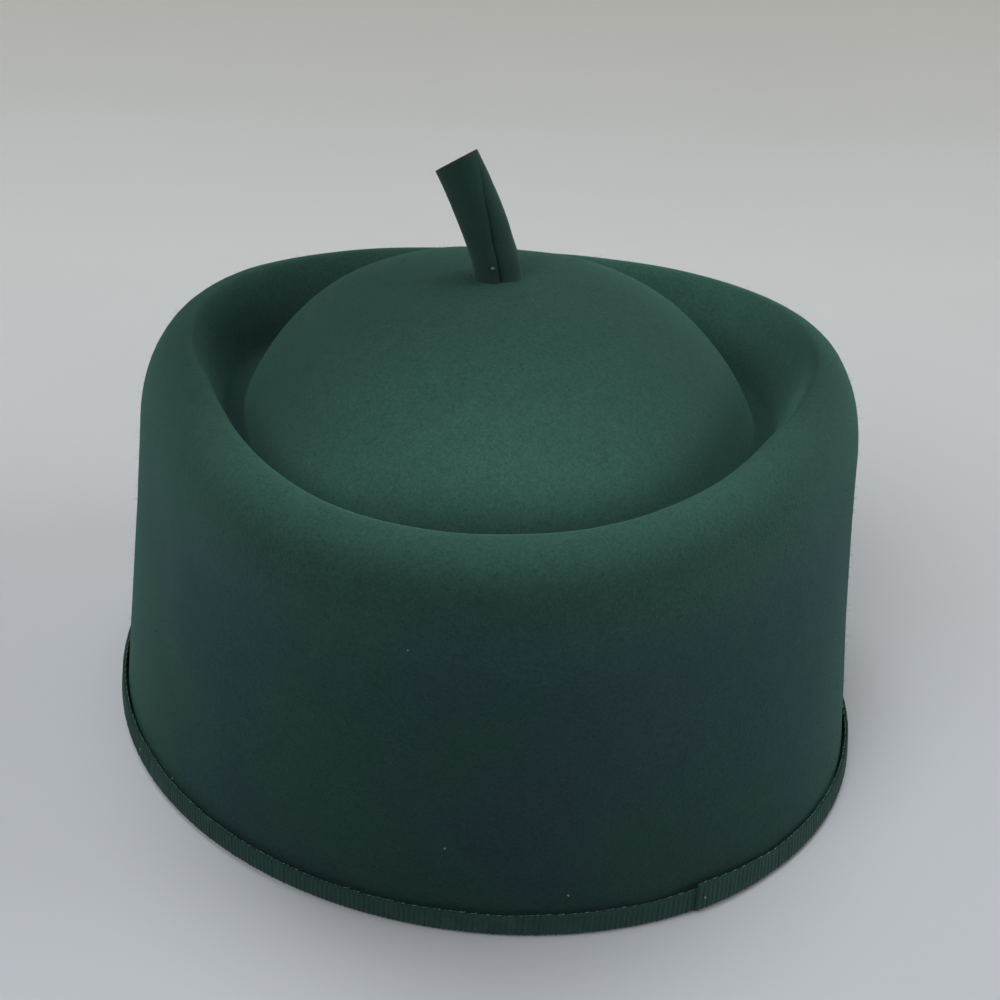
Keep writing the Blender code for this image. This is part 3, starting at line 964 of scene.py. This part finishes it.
def stem_material():
    """Darker felt, with the bare color by the mark."""
    material, tree, shader = new_material("stem_felt", Specular_IOR_Level=0.2, Sheen_Weight=0.15,
                                          Sheen_Roughness=0.5, Sheen_Tint=STEM_SHEEN)
    grain = grain_node(tree, felt_grain, {"dye": STEM_DYE, "cool dye": STEM_COOL, "patch size": 9 * MM,
                                          "fibre size": 0.6 * MM, "relief": 0.24 * MM, "contrast": 0.5})
    mark = add_node(tree, "ShaderNodeAttribute", attribute_name="cut").outputs["Fac"]
    bare = mix_color(tree, calc(tree, "MULTIPLY", mark, 0.8), grain.outputs["color"], CUT_BARE)
    wire_shader(tree, shader, grain, bare)
    return material


stem.data.materials.append(stem_material())
print("material:", stem.data.materials[0].name)

# %% [markdown]
# ## Nap
# Short fibres stand off the felt and soften its outline. One bent needle is scattered over
# the felt with a fixed seed, leaning at random. Each needle has only a few faces, because
# there are thousands of them.

# %% One fibre, a bent needle one millimetre long
FIBRE_RADIUS = 0.022 * MM       # at its root
FIBRE_TAPER = 0.75
FIBRE_BEND = 0.35 * MM
TRIANGLE = (0, tau / 3, 2 * tau / 3)    # turns of a needle's three sides


def skin_needle(bm, rings):
    """Close a three-sided tube from its rings of points."""
    rings = [[bm.verts.new(place) for place in ring] for ring in rings]
    for low, high in zip(rings, rings[1:]):
        for k in range(3):
            bm.faces.new((low[k], low[(k + 1) % 3], high[(k + 1) % 3], high[k]))
    bm.faces.new(reversed(rings[0]))
    bm.faces.new(rings[-1])


def fibre_object():
    bm = bmesh.new()
    rings = []
    for share in (0, 1 / 3, 2 / 3, 1):
        radius = FIBRE_RADIUS * (1 - FIBRE_TAPER * share)
        rings.append([(radius * cos(turn) + FIBRE_BEND * share ** 2, radius * sin(turn), share * MM)
                      for turn in TRIANGLE])
    skin_needle(bm, rings)
    return bmesh_object("fibre", bm)


fibre = fibre_object()
print("one fibre has", count_triangles(fibre), "triangles")


# %% Geometry Nodes tree: fibres scattered on a face
def build_nap_tree():
    """Needles scattered over a surface, each turned, leaning and scaled at random."""
    inputs = {"surface": ("object", None), "fibre": ("object", None), "density": ("float", 1000.0),
              "shortest": ("float", 0.5), "longest": ("float", 1.0), "lean": ("float", 1.0),
              "seed": ("int", 1), "felt": ("material", None)}
    tree, given, end = new_tree("nap", "GeometryNodeTree", inputs, {"geometry": "geometry"})
    face = add_node(tree, "GeometryNodeObjectInfo", {"Object": given["surface"]})
    points = add_node(tree, "GeometryNodeDistributePointsOnFaces", distribute_method="RANDOM")
    wire(tree, points.inputs["Mesh"], face.outputs["Geometry"])
    wire(tree, points.inputs["Density"], given["density"])
    wire(tree, points.inputs["Seed"], given["seed"])
    tilt = random_value(tree, 0.3, given["lean"], given["seed"])
    spin = random_value(tree, 0.0, tau, calc(tree, "ADD", given["seed"], 1.0))
    local = add_node(tree, "ShaderNodeCombineXYZ", {0: tilt, 2: spin})
    local = add_node(tree, "FunctionNodeEulerToRotation", {0: local.outputs[0]})
    turned = add_node(tree, "FunctionNodeRotateRotation", rotation_space="LOCAL")
    wire(tree, turned.inputs[0], points.outputs["Rotation"])
    wire(tree, turned.inputs[1], local.outputs[0])
    length = random_value(tree, given["shortest"], given["longest"], calc(tree, "ADD", given["seed"], 2.0))
    needles = copies_on(tree, points.outputs["Points"], given["fibre"], Rotation=turned.outputs[0],
                        Scale=length)
    finish_tree(tree, end, needles, given["felt"])
    return tree


nap_tree = build_nap_tree()
print("node tree:", nap_tree.name)

# %% Grow the nap of the crown
NAP_DYE = (0.0110, 0.0370, 0.0290, 1.0)
NAP_COOL = (0.0110, 0.0340, 0.0310, 1.0)
NAP_CONTRAST = 0.2
NAP = {"density": 80000.0, "shortest": 0.5, "longest": 1.5, "lean": 1.45, "seed": 7}

nap_felt = felt_material("nap_felt", NAP_DYE, NAP_COOL, NAP_CONTRAST)
nap_values = {"surface": felt_face, "fibre": fibre, "felt": nap_felt, **NAP}
crown_nap = keep_mesh("crown_nap", run_tree("crown_nap", nap_tree, nap_values))

# %% [markdown]
# ## Camera
# The picture looks down on the cap at 29 degrees from less than 40 cm away, a little tilted.

# %% Camera
IMAGE = 1000                    # pixels each way
LOOK_DOWN = radians(29.18)
ROLL = radians(2.21)
SENSOR = 36.0
LENS = 46.8
EYE = (AXIS[0] + 1.99 * MM, AXIS[1] - 291.81 * MM, 215.82 * MM)


def add_camera():
    data = bpy.data.cameras.new("camera")
    data.sensor_width = SENSOR
    data.lens = LENS
    data.clip_start = 0.01
    camera = bpy.data.objects.new("camera", data)
    turn = Matrix.Rotation(pi / 2 - LOOK_DOWN, 4, "X") @ Matrix.Rotation(ROLL, 4, "Z")
    camera.matrix_world = Matrix.Translation(EYE) @ turn
    bpy.context.scene.collection.objects.link(camera)
    bpy.context.scene.camera = camera
    return camera


camera = add_camera()
bpy.context.scene.view_settings.view_transform = "Standard"
print("camera", round((Vector(EYE) - Vector((0, 0, 0.05))).length / MM), "mm from the cap")

# %% [markdown]
# ## Lint
# A few pale tufts of lint cling to the felt. Each is placed where the picture shows it: a ray
# from the camera through that pixel finds the felt, so the tuft sits on the surface from
# every side. A tuft is sixteen short bent fibres.

# %% Where the tufts are, as pixels, and their sizes in mm
LINT = (
    ((493, 268), 0.9), ((533, 300), 0.45), ((445, 848), 0.45), ((568, 895), 0.5), ((408, 650), 0.35),
    ((141, 749), 0.6), ((149, 747), 0.5), ((156, 759), 0.55), ((173, 778), 0.5), ((181, 792), 0.5),
    ((705, 897), 0.5),
)
TUFT_FIBRES = 16
TUFT_RADIUS = 0.05 * MM         # of one of its fibres
LINT_SEED = 11
print(len(LINT), "tufts")


def surfaces(*pieces):
    """A search tree over the triangles of some pieces."""
    corners, faces = [], []
    for piece in pieces:
        first = len(corners)
        corners += [corner.co.copy() for corner in piece.data.vertices]
        faces += [[first + k for k in face.vertices] for face in piece.data.polygons]
    return BVHTree.FromPolygons(corners, faces)


def seen_at(pixel, shape):
    """The place and normal that a pixel of the picture shows."""
    reach = IMAGE * LENS / SENSOR
    across, up = (pixel[0] - IMAGE / 2) / reach, (IMAGE / 2 - pixel[1]) / reach
    ray = camera.matrix_world.to_3x3() @ Vector((across, up, -1)).normalized()
    place, normal, _, _ = shape.ray_cast(Vector(EYE), ray)
    return place, normal


# %% Build the tufts
def add_needle(bm, start, middle, end, radius):
    """A bent three-sided fibre through three points."""
    along = (end - start).normalized()
    side = along.orthogonal().normalized()
    third = along.cross(side)
    rings = []
    for share in (0.0, 0.35, 0.7, 1.0):
        place = start.lerp(middle, share).lerp(middle.lerp(end, share), share)
        rings.append([place + (side * cos(turn) + third * sin(turn)) * radius for turn in TRIANGLE])
    skin_needle(bm, rings)


def build_lint(name, shape):
    noise.seed_set(LINT_SEED)
    bm = bmesh.new()
    for pixel, size in LINT:
        place, normal = seen_at(pixel, shape)
        if place is None:
            print("no felt behind pixel", pixel)
            continue
        middle = place + normal * size * MM * 0.3
        for _ in range(TUFT_FIBRES):
            ends = [middle + noise.random_unit_vector() * size * MM * 0.5 for _ in range(2)]
            add_needle(bm, ends[0], middle, ends[1], TUFT_RADIUS)
    return bmesh_object(name, bm)


lint = build_lint("lint", surfaces(crown, edge_ribbon, stem))
lint.data.materials.append(lint_fluff)
print("lint has", count_triangles(lint), "triangles")

# %% [markdown]
# ## Studio
# A pale sweep: a floor that curves up into a wall well behind the cap, and soft light.

# %% Floor and wall in one sweep
SWEEP_NEAR = -2.0               # where the floor starts, along Y
SWEEP_START = 0.62              # where it begins to curve up
SWEEP_RADIUS = 0.5
SWEEP_TOP = 3.0
SWEEP_WIDTH = 6.0
SWEEP_STEPS = 24


def build_sweep():
    profile = [(SWEEP_NEAR, 0.0)]
    for i in range(SWEEP_STEPS + 1):
        turn = pi / 2 * i / SWEEP_STEPS
        profile.append((SWEEP_START + SWEEP_RADIUS * sin(turn), SWEEP_RADIUS * (1 - cos(turn))))
    profile.append((SWEEP_START + SWEEP_RADIUS, SWEEP_TOP))
    corners = [(x, y, z) for y, z in profile for x in (-SWEEP_WIDTH / 2, SWEEP_WIDTH / 2)]
    faces = [(2 * i, 2 * i + 1, 2 * i + 3, 2 * i + 2) for i in range(len(profile) - 1)]
    board = data_object("sweep", corners, faces)
    board.data.shade_smooth()
    return board


# %% The sweep's paint
# Three tones of painted light and shade: darker and bluer near the camera, lighter in the middle, a darker,
# warmer painted shade far back.
NEAR_COLOR = (0.485, 0.508, 0.538, 1.0)
MIDDLE_COLOR = (0.585, 0.600, 0.600, 1.0)
FAR_PAINTED_SHADE = (0.535, 0.533, 0.485, 1.0)
TO_MIDDLE = (0.0, 0.35)         # along Y, from the near color to the middle one
TO_FAR = (0.60, 0.95)
MOTTLE_SIZE = 0.25


def sweep_material():
    """Pale paint with painted light and shade in three tones: darker and bluer near, lightest in the middle,
    a darker, warmer painted shade far back, with a faint mottle.
    """
    material, tree, shader = new_material("pale_board", Roughness=0.85, Specular_IOR_Level=0.2)
    place = add_node(tree, "ShaderNodeTexCoord").outputs["Object"]
    depth = add_node(tree, "ShaderNodeSeparateXYZ", {0: place}).outputs[1]
    mottle = noise_at(tree, place, MOTTLE_SIZE, detail=2.0)
    color = mix_color(tree, spread(tree, depth, *TO_MIDDLE), NEAR_COLOR, MIDDLE_COLOR)
    color = mix_color(tree, spread(tree, depth, *TO_FAR), color, FAR_PAINTED_SHADE)
    shade = grey(tree, calc(tree, "MULTIPLY_ADD", calc(tree, "SUBTRACT", mottle, 0.5), 0.06, 1.0))
    wire(tree, shader.inputs["Base Color"], mix_color(tree, 1.0, color, shade, "MULTIPLY"))
    return material


sweep = build_sweep()
sweep.data.materials.append(sweep_material())
print("the sweep has", len(sweep.data.polygons), "faces")

# %% [markdown]
# Soft daylight from all round is five broad lights. Each is as wide as a window, 35 degrees
# across, so shadows fade out within a few centimetres. A sun lamp gives even light from one
# direction wherever it stands, so only its turn and height matter.

# %% Lights
Daylight = namedtuple("Daylight", "turn height strength")       # degrees round from +X, degrees up
DAYLIGHT = {
    "overhead": Daylight(100, 75, 1.75),
    "front_left": Daylight(229, 45, 1.15),
    "front_high": Daylight(250, 62, 0.35),
    "back_right": Daylight(45, 40, 0.70),
    "right_low": Daylight(0, 12, 1.44),
}
WINDOW = radians(35)
AIR_LIGHT = 0.12                # what comes from every other direction


def add_daylight(name, light):
    """A sun lamp that shines from its place in the sky."""
    data = bpy.data.lights.new(name, "SUN")
    data.angle = WINDOW
    data.energy = light.strength
    lamp = bpy.data.objects.new(name, data)
    turn, height = radians(light.turn), radians(light.height)
    source = Vector((cos(height) * cos(turn), cos(height) * sin(turn), sin(height)))
    lamp.rotation_euler = (-source).to_track_quat("-Z", "Y").to_euler()
    bpy.context.scene.collection.objects.link(lamp)


def add_air_light():
    world = bpy.data.worlds.new("studio")
    world.use_nodes = True
    sky = world.node_tree.nodes["Background"].inputs
    sky["Color"].default_value = (1.0, 1.0, 1.0, 1.0)
    sky["Strength"].default_value = AIR_LIGHT
    bpy.context.scene.world = world


for name, light in DAYLIGHT.items():
    add_daylight(name, light)
add_air_light()
print(len(DAYLIGHT), "lights")

# %% [markdown]
# ## Hand over
# Every piece moves with the cap's one body, and each stands for the solid whose place it
# takes. What was only a step on the way is removed.

# %% Ride and replace
HANDOVER = {"crown": ((crown, crown_nap, lint), "felt"), "edge_ribbon": ((edge_ribbon, thread), "ribbon"),
            "stem": ((stem,), "stem_felt")}
for node, (pieces, slot) in HANDOVER.items():
    for piece in pieces:
        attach(piece, "root")
    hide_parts(node)
for scrap in (crown_profile, felt_face, ribbon_profile, ribbon_face, stitch, fibre):
    bpy.data.objects.remove(scrap, do_unlink=True)
